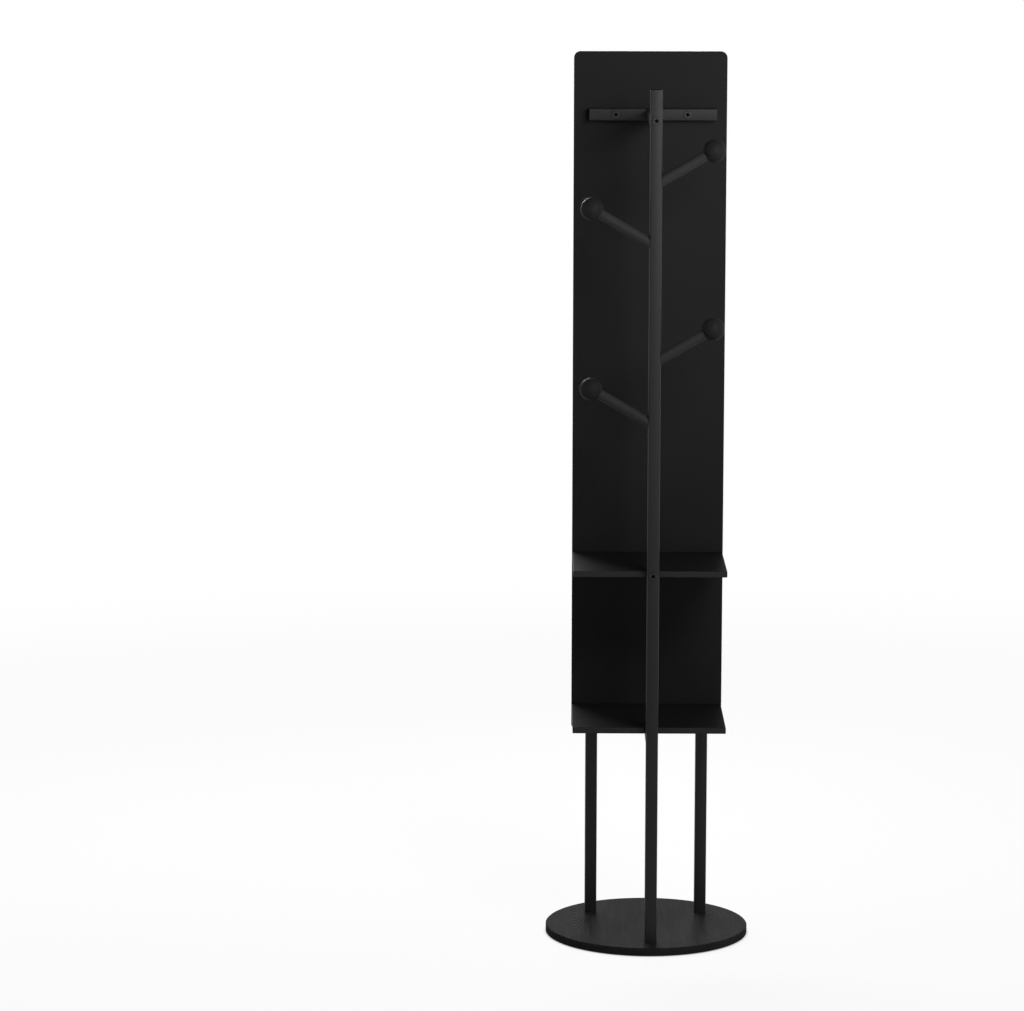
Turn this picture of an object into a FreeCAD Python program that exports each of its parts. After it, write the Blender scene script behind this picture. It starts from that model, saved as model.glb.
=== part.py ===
import FreeCAD, Part
import math
import os
import Sketcher
from FreeCAD import Placement, Rotation, Vector

# A revolving hall stand. A round base turns on a roller bearing between two square steel plates,
# the lower of which stands on the floor. The base carries two short posts and one tall post, a
# lower shelf on rails, an upper shelf, a long mirror in two panels, a crossbar that steadies the
# mirror and four pegs for coats.
#
# Millimetres, +Z up, origin on the floor under the axis that the stand turns about. The mirror
# faces +Y and the coat side faces -Y. Left and right are as seen from the coat side.

doc = FreeCAD.newDocument("revolving_hall_stand")

# ---------------------------------------------------------------- sizes and places

SIZES = [
    ("disc_diameter", 400, "round base, across"),
    ("disc_thickness", 15, "round base, board"),
    ("disc_edge", 1.2, "eased upper edge of the base"),
    ("rim_width", 14, "rim of the base that hides the floor plate"),
    ("pad_thickness", 1.5, "floor pads, which lift plate and base off the floor"),
    ("pad_side", 24, "square floor pads"),
    ("pad_inset", 20, "pad's centre in from the plate's edges"),
    ("plate_thickness", 2.5, "floor plate"),
    ("plate_corner_gap", 5, "floor plate's uncut corner to the rim"),
    ("plate_corner_cut", 14, "cut corners of the floor plate"),
    ("plate_head_gap", 0.8, "base over the floor plate"),
    ("roller_diameter", 4, "bearing roller"),
    ("roller_length", 12, "bearing roller"),
    ("roller_circle", 130, "circle of the rollers' middles"),
    ("roller_count", 4, "bearing rollers, one to every other side of the cage"),
    ("roller_gap", 0.05, "running gap between a roller and each plate"),
    ("roller_window_gap", 0.2, "roller to the window of its cage"),
    ("cage_thickness", 1.6, "roller cage"),
    ("cage_margin", 5, "cage outside the ends of the rollers"),
    ("top_plate_thickness", 1.5, "bearing's upper plate"),
    ("top_plate_side", 182, "bearing's upper plate"),
    ("pocket_gap", 1, "bearing's upper plate to the side of its pocket"),
    ("pivot_diameter", 12, "pivot that the stand turns about"),
    ("pivot_running_gap", 0.05, "pivot to the plate and the cage that turn on it"),
    ("pivot_head", 22, "pivot's flat hexagon head, across corners"),
    ("pivot_head_height", 1.2, "pivot's flat hexagon head"),
    ("pivot_head_clearance", 1.5, "recess in the base round the pivot's head"),
    ("post_side", 24, "square posts"),
    ("post_round", 3, "rounded long edges of the posts"),
    ("post_chamfer", 1, "eased top end of the tall post"),
    ("short_post_inset", 28, "short posts' outer faces in from the panels' edges"),
    ("short_post_forward", 88, "short posts, in front of the axis"),
    ("short_post_length", 412, "short posts"),
    ("tall_post_back", 148, "tall post, behind the axis"),
    ("tall_post_offset", 5, "tall post, right of the axis"),
    ("tall_post_stub", 59, "tall post above the crossbar's centre"),
    ("shelf_inset", 1, "shelves' sides in from the panels' edges"),
    ("shelf_thickness", 12, "both shelves"),
    ("shelf_spacing", 308, "lower shelf's underside to the upper one's"),
    ("shelf_corner", 1.5, "shelves' eased corners"),
    ("rail_side", 24, "square rails and crossbar"),
    ("rail_edge", 1.5, "eased long edges of the rails"),
    ("tenon_side", 12, "square tenons of the rails"),
    ("tenon_length", 12, "square tenons of the rails"),
    ("crossbar_end_inset", 25.5, "crossbar's ends in from the panels' edges"),
    ("crossbar_drop", 122.3, "crossbar's centre below the mirror's top"),
    ("crossbar_bolt_spacing", 140, "crossbar's bolts, one from the other"),
    ("crossbar_bolt_offset", 2, "middle between the crossbar's bolts, right of the axis"),
    ("panel_width", 300, "mirror panels"),
    ("panel_corner", 13, "rounded outer corners of the mirror panels"),
    ("board_thickness", 9, "backing board of the mirror"),
    ("mirror_thickness", 4, "mirror glass"),
    ("mirror_reveal", 1.5, "board that shows round the glass"),
    ("seam_reveal", 0.6, "board that shows along the seam"),
    ("seam_gap", 1.2, "gap between the two panels"),
    ("seam_cover", 1.2, "upper panel's lower edge below the upper shelf's top"),
    ("panel_overhang", 42.5, "lower panel below the lower shelf's underside"),
    ("upper_panel_height", 991.5, "upper panel"),
    ("peg_diameter", 20, "coat peg, round arm"),
    ("peg_angle", 30, "coat peg's rise above level, degrees"),
    ("peg_reach", 116.5, "ball's centre from the stand's centre plane"),
    ("peg_ball_diameter", 44, "ball on the peg's end"),
    ("peg_in_ball", 14, "peg in its ball"),
    ("peg_in_post", 12, "peg in the tall post, along its centre line"),
    ("top_peg_drop", 114, "top peg's root below the crossbar's centre"),
    ("peg_stagger", 117, "right peg's root above the left one's"),
    ("right_peg_pitch", 340, "upper right peg above the lower right one"),
    ("left_peg_pitch", 345, "upper left peg above the lower left one"),
    ("bolt_diameter", 6, "connector and base bolts"),
    ("bolt_hole_gap", 0.2, "clearance round a bolt in what it passes through"),
    ("bolt_head", 15, "connector bolt's flat head"),
    ("bolt_head_height", 2.5, "connector bolt's flat head"),
    ("bolt_in_rail", 20, "connector bolt's end in a rail or shelf"),
    ("bolt_in_panel", 6, "connector bolt's end in the mirror's backing board"),
    ("bolt_in_post", 28, "base bolt's end in a post"),
    ("base_bolt_head", 11.5, "base bolt's hexagon head, across corners"),
    ("base_bolt_head_height", 4, "base bolt's hexagon head"),
    ("base_bolt_seat", 20, "counterbore for the bolt's head and its spanner"),
    ("base_bolt_seat_depth", 4.5, "counterbore for the bolt's head"),
    ("key_across_corners", 4.6, "hexagon socket of the bolts"),
    ("key_depth", 1.8, "hexagon socket of the bolts"),
    ("bracket_inset", 60, "angle brackets' middles in from the panels' edges"),
    ("bracket_leg", 24, "each leg of a bracket"),
    ("bracket_width", 18, "bracket"),
    ("bracket_thickness", 1.5, "bracket"),
    ("bracket_bend", 1.5, "inside of a bracket's bend"),
]

PLACES = [
    ("disc_top", "Sizes.pad_thickness + Sizes.disc_thickness"),
    ("disc_radius", "Sizes.disc_diameter / 2"),
    ("rebate_radius", "disc_radius - Sizes.rim_width"),
    ("plate_side", "(rebate_radius - Sizes.plate_corner_gap) * sqrt(2)"),
    ("pad_place", "plate_side / 2 - Sizes.pad_inset"),
    ("plate_top", "Sizes.pad_thickness + Sizes.plate_thickness"),
    ("rebate_ceiling", "plate_top + Sizes.plate_head_gap"),
    ("base_bolt_seat_end", "rebate_ceiling + Sizes.base_bolt_seat_depth"),
    ("roller_level", "plate_top + Sizes.roller_gap + Sizes.roller_diameter / 2"),
    ("roller_inner_end", "(Sizes.roller_circle - Sizes.roller_length) / 2"),
    ("roller_outer_end", "(Sizes.roller_circle + Sizes.roller_length) / 2"),
    ("cage_sides", "2 * Sizes.roller_count"),
    ("cage_reach", "(roller_outer_end + Sizes.cage_margin) / cos(180 / cage_sides)"),
    ("cage_bottom", "roller_level - Sizes.cage_thickness / 2"),
    ("top_plate_bottom", "roller_level + Sizes.roller_diameter / 2 + Sizes.roller_gap"),
    ("top_plate_top", "top_plate_bottom + Sizes.top_plate_thickness"),
    ("pocket_side", "Sizes.top_plate_side + 2 * Sizes.pocket_gap"),
    ("pivot_head_bottom", "top_plate_top + Sizes.pivot_running_gap"),
    ("pivot_recess", "Sizes.pivot_head + 2 * Sizes.pivot_head_clearance"),
    ("running_hole", "Sizes.pivot_diameter + 2 * Sizes.pivot_running_gap"),
    ("panel_back", "Sizes.short_post_forward + Sizes.post_side / 2"),
    ("board_front", "panel_back + Sizes.board_thickness"),
    ("rail_face", "panel_back - Sizes.rail_side"),
    ("rail_line", "panel_back - Sizes.rail_side / 2"),
    ("post_inner_face", "-Sizes.tall_post_back + Sizes.post_side / 2"),
    ("post_outer_face", "-Sizes.tall_post_back - Sizes.post_side / 2"),
    ("post_right_face", "Sizes.tall_post_offset + Sizes.post_side / 2"),
    ("post_left_face", "Sizes.tall_post_offset - Sizes.post_side / 2"),
    ("short_post_side", "(Sizes.panel_width - Sizes.post_side) / 2 - Sizes.short_post_inset"),
    ("cross_rail_end", "short_post_side - Sizes.post_side / 2"),
    ("shelf_width", "Sizes.panel_width - 2 * Sizes.shelf_inset"),
    ("shelf_depth", "panel_back - post_inner_face"),
    ("shelf_middle", "(post_inner_face + panel_back) / 2"),
    ("rail_length", "rail_face - post_inner_face"),
    ("rail_middle", "(post_inner_face + rail_face) / 2"),
    ("crossbar_length", "Sizes.panel_width - 2 * Sizes.crossbar_end_inset"),
    ("bracket_side", "Sizes.panel_width / 2 - Sizes.bracket_inset"),
    ("lower_shelf_bottom", "disc_top + Sizes.short_post_length"),
    ("upper_shelf_bottom", "lower_shelf_bottom + Sizes.shelf_spacing"),
    ("upper_shelf_top", "upper_shelf_bottom + Sizes.shelf_thickness"),
    ("rail_level", "lower_shelf_bottom - Sizes.rail_side / 2"),
    ("lower_panel_bottom", "lower_shelf_bottom - Sizes.panel_overhang"),
    ("upper_panel_bottom", "upper_shelf_top - Sizes.seam_cover"),
    ("lower_panel_top", "upper_panel_bottom - Sizes.seam_gap"),
    ("panel_top", "upper_panel_bottom + Sizes.upper_panel_height"),
    ("crossbar_level", "panel_top - Sizes.crossbar_drop"),
    ("tall_post_top", "crossbar_level + Sizes.tall_post_stub"),
    ("upper_right_peg", "crossbar_level - Sizes.top_peg_drop"),
    ("upper_left_peg", "upper_right_peg - Sizes.peg_stagger"),
    ("lower_right_peg", "upper_right_peg - Sizes.right_peg_pitch"),
    ("lower_left_peg", "upper_left_peg - Sizes.left_peg_pitch"),
    ("right_peg_length", "(Sizes.peg_reach - post_right_face) / cos(Sizes.peg_angle)"),
    ("left_peg_length", "(Sizes.peg_reach + post_left_face) / cos(Sizes.peg_angle)"),
    ("peg_ball_radius", "Sizes.peg_ball_diameter / 2"),
]

sizes = doc.addObject("Spreadsheet::Sheet", "Sizes")
for row, (alias, value, meaning) in enumerate(SIZES, 1):
    sizes.set(f"A{row}", meaning)
    sizes.set(f"B{row}", str(value))
    sizes.setAlias(f"B{row}", alias)

places = doc.addObject("Spreadsheet::Sheet", "Places")
for row, (alias, formula) in enumerate(PLACES, 1):
    places.set(f"B{row}", f"={formula}")
    places.setAlias(f"B{row}", alias)
doc.recompute()

# ---------------------------------------------------------------- shop tools

UP = Rotation()
TO_MIRROR = Rotation(Vector(1, 0, 0), -90)
TO_RIGHT = Rotation(Vector(0, 1, 0), 90)
HALF_TURN = Rotation(Vector(0, 0, 1), 180)
LEAN_AXIS = {"right": Vector(0, 1, 0), "left": Vector(0, -1, 0)}
SIGN = {"right": "", "left": "-"}

nodes = []
homes = {}


def node(thing, label):
    """Names a finished piece and keeps it for export."""
    thing.Label = label
    nodes.append(thing)
    return thing


def move(thing, x, y, z):
    """Ties an object's position to three expressions."""
    for axis, expression in zip("xyz", (x, y, z)):
        thing.setExpression(f"Placement.Base.{axis}", expression)


def start_body(name, x="0", y="0", z="0"):
    """An empty body whose own frame stands at a point of the stand."""
    body = doc.addObject("PartDesign::Body", name)
    homes[body.Name] = (x, y, z)
    move(body, x, y, z)
    return body


def local(body, point):
    """A point of the stand, as expressions in a body's own frame."""
    return [f"({value}) - ({home})" for value, home in zip(point, homes[body.Name])]


def origin_feature(body, role):
    return next(f for f in body.Origin.OriginFeatures if f.Role == role)


def polygon_sketch(body, name, plane, corners):
    """A closed outline with each corner's two coordinates tied to expressions."""
    sketch = body.newObject("Sketcher::SketchObject", name)
    sketch.AttachmentSupport = [(origin_feature(body, plane), "")]
    sketch.MapMode = "FlatFace"
    count = len(corners)
    turns = [2 * math.pi * i / count for i in range(count)]
    draft = [Vector(math.cos(turn), math.sin(turn), 0) for turn in turns]
    for i in range(count):
        sketch.addGeometry(Part.LineSegment(draft[i], draft[(i + 1) % count]), False)
    for i in range(count):
        sketch.addConstraint(Sketcher.Constraint("Coincident", i, 2, (i + 1) % count, 1))
    for i, corner in enumerate(corners):
        for kind, expression in zip(("DistanceX", "DistanceY"), corner):
            index = sketch.addConstraint(Sketcher.Constraint(kind, -1, 1, i, 1, 1.0))
            sketch.setExpression(f"Constraints[{index}]", expression)
    return sketch


def block(name, wide, deep, tall, x, y, z):
    """A board or batten: x and y are its middle and z its underside."""
    body = start_body(name, x, y, z)
    half_x, half_y = f"({wide}) / 2", f"({deep}) / 2"
    corners = [
        (f"-{half_x}", f"-{half_y}"),
        (half_x, f"-{half_y}"),
        (half_x, half_y),
        (f"-{half_x}", half_y),
    ]
    pad = body.newObject("PartDesign::Pad", f"{name}_pad")
    pad.Profile = polygon_sketch(body, f"{name}_outline", "XY_Plane", corners)
    pad.setExpression("Length", tall)
    doc.recompute()
    return node(body, name)


def turned(body, outline):
    """A turned solid: its half section is given as (radius, height) corners."""
    sketch = polygon_sketch(body, f"{body.Name}_section", "XZ_Plane", outline)
    revolution = body.newObject("PartDesign::Revolution", f"{body.Name}_turned")
    revolution.Profile = sketch
    revolution.ReferenceAxis = (sketch, ["V_Axis"])
    revolution.Angle = 360
    doc.recompute()


def ease(body, kind, size, wanted):
    """Fillets or chamfers the edges of the newest feature that wanted() accepts."""
    base = body.Tip
    edges = [f"Edge{i}" for i, edge in enumerate(base.Shape.Edges, 1) if wanted(edge)]
    feature = body.newObject(f"PartDesign::{kind}", f"{body.Name}_{kind.lower()}")
    feature.Base = (base, edges)
    feature.setExpression("Radius" if kind == "Fillet" else "Size", size)
    doc.recompute()


def runs_along(axis):
    """Accepts the straight edges that run along an axis."""
    return lambda edge: (
        isinstance(edge.Curve, Part.Line) and edge.Curve.Direction.cross(axis).Length < 1e-6
    )


def primitive(body, kind, lengths, point, rotation=UP):
    """Adds or cuts a simple solid that starts at a point of the stand."""
    feature = body.newObject(f"PartDesign::{kind}", f"{body.Name}_{kind}")
    feature.Placement = Placement(Vector(), rotation)
    for name, expression in lengths.items():
        feature.setExpression(name, expression)
    move(feature, *local(body, point))
    return feature


def bar(body, diameter, length, point, rotation=UP):
    lengths = {"Radius": f"({diameter}) / 2", "Height": length}
    return primitive(body, "AdditiveCylinder", lengths, point, rotation)


def bore(body, diameter, length, point, rotation=UP):
    lengths = {"Radius": f"({diameter}) / 2", "Height": length}
    return primitive(body, "SubtractiveCylinder", lengths, point, rotation)


def hexagon(body, kind, across_corners, height, point):
    """Adds or cuts an upright hexagon prism."""
    lengths = {"Circumradius": f"({across_corners}) / 2", "Height": height}
    primitive(body, f"{kind}Prism", lengths, point).Polygon = 6


def all_round(body, feature, count):
    """Repeats a feature round the body's upright axis."""
    doc.recompute()
    pattern = body.newObject("PartDesign::PolarPattern", f"{body.Name}_pattern")
    pattern.Originals = [feature]
    pattern.Axis = (origin_feature(body, "Z_Axis"), [""])
    pattern.Angle = 360
    pattern.setExpression("Occurrences", count)
    body.Tip = pattern
    doc.recompute()


def copies(name, pattern_piece, spots):
    """Links to one piece, each with its own point and heading."""
    links = []
    for number, (point, rotation) in enumerate(spots, 1):
        link = doc.addObject("App::Link", f"{name}_{number}")
        link.LinkedObject = pattern_piece
        link.Placement = Placement(Vector(), rotation)
        move(link, *point)
        links.append(link)
    return links


def together(name, pieces):
    """One node of pieces that stay solids of their own."""
    compound = doc.addObject("Part::Compound", name)
    compound.Links = pieces
    return node(compound, name)


# ---------------------------------------------------------------- foot and bearing

# The foot stands still: a square plate with cut corners on four rubber pads.
floor_pads = start_body("floor_pads")
pad = floor_pads.newObject("PartDesign::Pad", "floor_pad")
near, far = (f"Places.pad_place {sign} Sizes.pad_side / 2" for sign in "-+")
pad_corners = [(near, near), (far, near), (far, far), (near, far)]
pad.Profile = polygon_sketch(floor_pads, "floor_pad_outline", "XY_Plane", pad_corners)
pad.setExpression("Length", "Sizes.pad_thickness")
all_round(floor_pads, pad, "4")
node(floor_pads, "floor_pads")

floor_plate = block(
    "floor_plate", "Places.plate_side", "Places.plate_side", "Sizes.plate_thickness",
    "0", "0", "Sizes.pad_thickness",
)
ease(floor_plate, "Chamfer", "Sizes.plate_corner_cut", runs_along(Vector(0, 0, 1)))
bore(
    floor_plate, "Sizes.pivot_diameter", "Sizes.plate_thickness", ("0", "0", "Sizes.pad_thickness")
)

# The pivot is fast in the floor plate, and its head keeps the upper plate from lifting off.
bearing_pivot = start_body("bearing_pivot", z="Sizes.pad_thickness")
bar(
    bearing_pivot, "Sizes.pivot_diameter", "Places.pivot_head_bottom - Sizes.pad_thickness",
    ("0", "0", "Sizes.pad_thickness"),
)
hexagon(
    bearing_pivot, "Additive", "Sizes.pivot_head", "Sizes.pivot_head_height",
    ("0", "0", "Places.pivot_head_bottom"),
)
node(bearing_pivot, "bearing_pivot")

# Rollers run between the plates in the windows of a flat cage, which has twice as many sides as
# rollers. The first roller points straight right, to the middle of one side.
rollers = start_body("rollers", z="Places.roller_level")
first_roller = bar(
    rollers, "Sizes.roller_diameter", "Sizes.roller_length",
    ("Places.roller_inner_end", "0", "Places.roller_level"), TO_RIGHT,
)
all_round(rollers, first_roller, "Sizes.roller_count")
node(rollers, "rollers")

roller_cage = start_body("roller_cage", z="Places.cage_bottom")
sheet = primitive(
    roller_cage, "AdditivePrism",
    {"Circumradius": "Places.cage_reach", "Height": "Sizes.cage_thickness"},
    ("0", "0", "Places.cage_bottom"), HALF_TURN,
)
sheet.setExpression("Polygon", "Places.cage_sides")
sheet.setExpression("Placement.Rotation.Angle", "180 / Places.cage_sides")
bore(roller_cage, "Places.running_hole", "Sizes.cage_thickness", ("0", "0", "Places.cage_bottom"))
first_window = primitive(
    roller_cage, "SubtractiveBox",
    {
        "Length": "Sizes.roller_length + 2 * Sizes.roller_window_gap",
        "Width": "Sizes.roller_diameter + 2 * Sizes.roller_window_gap",
        "Height": "Sizes.cage_thickness",
    },
    (
        "Places.roller_inner_end - Sizes.roller_window_gap",
        "-Sizes.roller_diameter / 2 - Sizes.roller_window_gap",
        "Places.cage_bottom",
    ),
)
all_round(roller_cage, first_window, "Sizes.roller_count")
node(roller_cage, "roller_cage")

bearing_top_plate = block(
    "bearing_top_plate", "Sizes.top_plate_side", "Sizes.top_plate_side",
    "Sizes.top_plate_thickness", "0", "0", "Places.top_plate_bottom",
)
bore(
    bearing_top_plate, "Places.running_hole", "Sizes.top_plate_thickness",
    ("0", "0", "Places.top_plate_bottom"),
)

# ---------------------------------------------------------------- base

# The revolving base is a veneered disc. Underneath it has a rebate over the floor plate, a square
# pocket for the bearing's upper plate and a square recess for the pivot's head.
base_disc = start_body("base_disc", z="Sizes.pad_thickness")
rebate_height = "Places.rebate_ceiling - Sizes.pad_thickness"
turned(base_disc, [
    ("0", rebate_height),
    ("Places.rebate_radius", rebate_height),
    ("Places.rebate_radius", "0"),
    ("Places.disc_radius", "0"),
    ("Places.disc_radius", "Sizes.disc_thickness - Sizes.disc_edge"),
    ("Places.disc_radius - Sizes.disc_edge", "Sizes.disc_thickness"),
    ("0", "Sizes.disc_thickness"),
])
for side, depth, level in (
    (
        "Places.pocket_side", "Places.top_plate_top - Places.rebate_ceiling",
        "Places.rebate_ceiling",
    ),
    (
        "Places.pivot_recess", "Sizes.pivot_head_height + Sizes.pivot_head_clearance",
        "Places.top_plate_top",
    ),
):
    primitive(
        base_disc, "SubtractiveBox", {"Length": side, "Width": side, "Height": depth},
        (f"-{side} / 2", f"-{side} / 2", level),
    )
node(base_disc, "base_disc")

# ---------------------------------------------------------------- posts, rails and shelves

short_posts = {
    side: block(
        f"short_post_{side}", "Sizes.post_side", "Sizes.post_side", "Sizes.short_post_length",
        f"{SIGN[side]}Places.short_post_side", "Sizes.short_post_forward", "Places.disc_top",
    )
    for side in ("left", "right")
}
tall_post = block(
    "tall_post", "Sizes.post_side", "Sizes.post_side", "Places.tall_post_top - Places.disc_top",
    "Sizes.tall_post_offset", "-Sizes.tall_post_back", "Places.disc_top",
)
for post in (*short_posts.values(), tall_post):
    ease(post, "Fillet", "Sizes.post_round", runs_along(Vector(0, 0, 1)))
post_middle = tall_post.Tip.Shape.BoundBox.Center.z
ease(tall_post, "Chamfer", "Sizes.post_chamfer", lambda edge: edge.BoundBox.ZMin > post_middle)

cross_rail = block(
    "lower_cross_rail", "2 * Places.cross_rail_end", "Sizes.rail_side", "Sizes.rail_side",
    "0", "Places.rail_line", "Places.rail_level - Sizes.rail_side / 2",
)
crossbar = block(
    "crossbar", "Places.crossbar_length", "Sizes.rail_side", "Sizes.rail_side",
    "Sizes.tall_post_offset", "Places.rail_line", "Places.crossbar_level - Sizes.rail_side / 2",
)
lower_rail, top_rail = (
    block(
        name, "Sizes.rail_side", "Places.rail_length", "Sizes.rail_side",
        "Sizes.tall_post_offset", "Places.rail_middle", f"{level} - Sizes.rail_side / 2",
    )
    for name, level in (("lower_rail", "Places.rail_level"), ("top_rail", "Places.crossbar_level"))
)
for rail, length_axis in (
    (cross_rail, Vector(1, 0, 0)),
    (crossbar, Vector(1, 0, 0)),
    (lower_rail, Vector(0, 1, 0)),
    (top_rail, Vector(0, 1, 0)),
):
    ease(rail, "Chamfer", "Sizes.rail_edge", runs_along(length_axis))

lower_shelf, upper_shelf = (
    block(
        name, "Places.shelf_width", "Places.shelf_depth", "Sizes.shelf_thickness",
        "0", "Places.shelf_middle", f"Places.{name}_bottom",
    )
    for name in ("lower_shelf", "upper_shelf")
)
for shelf in (lower_shelf, upper_shelf):
    ease(shelf, "Chamfer", "Sizes.shelf_corner", runs_along(Vector(0, 0, 1)))


def tenon(rail, mortised, x, y, level, run):
    """A square tenon on a rail's end and the mortise for it; x and y are its low corner."""
    lengths = {
        "Length": "Sizes.tenon_length" if run == "x" else "Sizes.tenon_side",
        "Width": "Sizes.tenon_length" if run == "y" else "Sizes.tenon_side",
        "Height": "Sizes.tenon_side",
    }
    low_corner = (x, y, f"{level} - Sizes.tenon_side / 2")
    primitive(rail, "AdditiveBox", lengths, low_corner)
    primitive(mortised, "SubtractiveBox", lengths, low_corner)


across = "Places.rail_line - Sizes.tenon_side / 2"
along = "Sizes.tall_post_offset - Sizes.tenon_side / 2"
for rail, mortised, x, y, level, run in (
    (
        cross_rail, short_posts["left"],
        "-Places.cross_rail_end - Sizes.tenon_length", across, "Places.rail_level", "x",
    ),
    (
        cross_rail, short_posts["right"],
        "Places.cross_rail_end", across, "Places.rail_level", "x",
    ),
    (
        lower_rail, tall_post,
        along, "Places.post_inner_face - Sizes.tenon_length", "Places.rail_level", "y",
    ),
    (lower_rail, cross_rail, along, "Places.rail_face", "Places.rail_level", "y"),
    (top_rail, crossbar, along, "Places.rail_face", "Places.crossbar_level", "y"),
):
    tenon(rail, mortised, x, y, level, run)


# ---------------------------------------------------------------- mirror panels

def mirror_panel(name, low, high, outer_end, low_reveal, high_reveal):
    """A backing board and its glass, with round corners at the end away from the seam."""
    board = block(
        f"{name}_panel", "Sizes.panel_width", "Sizes.board_thickness", f"{high} - {low}",
        "0", "Places.panel_back + Sizes.board_thickness / 2", low,
    )
    glass = block(
        f"{name}_mirror", "Sizes.panel_width - 2 * Sizes.mirror_reveal", "Sizes.mirror_thickness",
        f"{high} - {low} - {low_reveal} - {high_reveal}",
        "0", "Places.board_front + Sizes.mirror_thickness / 2", f"{low} + {low_reveal}",
    )
    for piece, radius in (
        (board, "Sizes.panel_corner"),
        (glass, "Sizes.panel_corner - Sizes.mirror_reveal"),
    ):
        middle = piece.Tip.Shape.BoundBox.Center.z
        ease(
            piece, "Fillet", radius,
            lambda edge: runs_along(Vector(0, 1, 0))(edge)
            and (edge.BoundBox.Center.z > middle) == (outer_end == "top"),
        )
    return board


lower_panel = mirror_panel(
    "lower", "Places.lower_panel_bottom", "Places.lower_panel_top", "bottom",
    "Sizes.mirror_reveal", "Sizes.seam_reveal",
)
upper_panel = mirror_panel(
    "upper", "Places.upper_panel_bottom", "Places.panel_top", "top",
    "Sizes.seam_reveal", "Sizes.mirror_reveal",
)

# Two bent steel brackets under the upper shelf hold the lower panel's top edge.
for side in ("left", "right"):
    bracket = start_body(
        f"shelf_bracket_{side}",
        f"{SIGN[side]}Places.bracket_side", "Places.panel_back", "Places.upper_shelf_bottom",
    )
    angle = bracket.newObject("PartDesign::Pad", f"{bracket.Name}_pad")
    angle.Profile = polygon_sketch(bracket, f"{bracket.Name}_angle", "YZ_Plane", [
        ("0", "0"),
        ("-Sizes.bracket_leg", "0"),
        ("-Sizes.bracket_leg", "-Sizes.bracket_thickness"),
        ("-Sizes.bracket_thickness", "-Sizes.bracket_thickness"),
        ("-Sizes.bracket_thickness", "-Sizes.bracket_leg"),
        ("0", "-Sizes.bracket_leg"),
    ])
    angle.setExpression("Length", "Sizes.bracket_width")
    angle.SideType = "Symmetric"
    doc.recompute()
    for depth, radius in (
        (sizes.bracket_thickness, "Sizes.bracket_bend"),
        (0, "Sizes.bracket_bend + Sizes.bracket_thickness"),
    ):
        bend = Vector(0, -depth, -depth)
        ease(
            bracket, "Fillet", radius,
            lambda edge: runs_along(Vector(1, 0, 0))(edge)
            and edge.CenterOfMass.isEqual(bend, 1e-6),
        )
    node(bracket, bracket.Name)

# ---------------------------------------------------------------- bolts


def connect(name, grip, hold, joints):
    """Like bolts towards the mirror, each through one piece (grip) and into the next (hold)."""
    bolt = start_body(f"{name}_bolt")
    turned(bolt, [
        ("0", "-Sizes.bolt_head_height"),
        ("Sizes.bolt_head / 2", "-Sizes.bolt_head_height"),
        ("Sizes.bolt_head / 2", "0"),
        ("Sizes.bolt_diameter / 2", "0"),
        ("Sizes.bolt_diameter / 2", f"{grip} + {hold}"),
        ("0", f"{grip} + {hold}"),
    ])
    hexagon(
        bolt, "Subtractive", "Sizes.key_across_corners", "Sizes.key_depth",
        ("0", "0", "-Sizes.bolt_head_height"),
    )
    for through, into, (x, y, z) in joints:
        bore(through, "Sizes.bolt_diameter + 2 * Sizes.bolt_hole_gap", grip, (x, y, z), TO_MIRROR)
        bore(into, "Sizes.bolt_diameter", hold, (x, f"{y} + {grip}", z), TO_MIRROR)
    together(name, copies(name, bolt, [(point, TO_MIRROR) for _, _, point in joints]))


# The tall post is bolted to the upper shelf's edge and to the top rail's end.
connect("post_bolts", "Sizes.post_side", "Sizes.bolt_in_rail", [
    (tall_post, piece, ("Sizes.tall_post_offset", "Places.post_outer_face", level))
    for piece, level in (
        (upper_shelf, "Places.upper_shelf_bottom + Sizes.shelf_thickness / 2"),
        (top_rail, "Places.crossbar_level"),
    )
])

# The crossbar is bolted to the upper panel's back.
connect("crossbar_bolts", "Sizes.rail_side", "Sizes.bolt_in_panel", [
    (
        crossbar, upper_panel,
        (
            f"Sizes.crossbar_bolt_offset {sign} Sizes.crossbar_bolt_spacing / 2",
            "Places.rail_face", "Places.crossbar_level",
        ),
    )
    for sign in "-+"
])

# A hexagon bolt comes up through the base into each post, its head in a counterbore.
base_bolt = start_body("base_bolts_bolt")
base_bolt_length = "Places.disc_top - Places.base_bolt_seat_end + Sizes.bolt_in_post"
bar(base_bolt, "Sizes.bolt_diameter", base_bolt_length, ("0", "0", "0"))
hexagon(
    base_bolt, "Additive", "Sizes.base_bolt_head", "Sizes.base_bolt_head_height",
    ("0", "0", "-Sizes.base_bolt_head_height"),
)
base_bolt_spots = []
for post, x, y in (
    (short_posts["left"], "-Places.short_post_side", "Sizes.short_post_forward"),
    (short_posts["right"], "Places.short_post_side", "Sizes.short_post_forward"),
    (tall_post, "Sizes.tall_post_offset", "-Sizes.tall_post_back"),
):
    bore(
        base_disc, "Sizes.base_bolt_seat", "Sizes.base_bolt_seat_depth",
        (x, y, "Places.rebate_ceiling"),
    )
    bore(base_disc, "Sizes.bolt_diameter", "Sizes.disc_thickness", (x, y, "Places.rebate_ceiling"))
    bore(post, "Sizes.bolt_diameter", "Sizes.bolt_in_post", (x, y, "Places.disc_top"))
    base_bolt_spots.append(((x, y, "Places.base_bolt_seat_end"), UP))
together("base_bolts", copies("base_bolts", base_bolt, base_bolt_spots))

# ---------------------------------------------------------------- coat pegs


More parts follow.
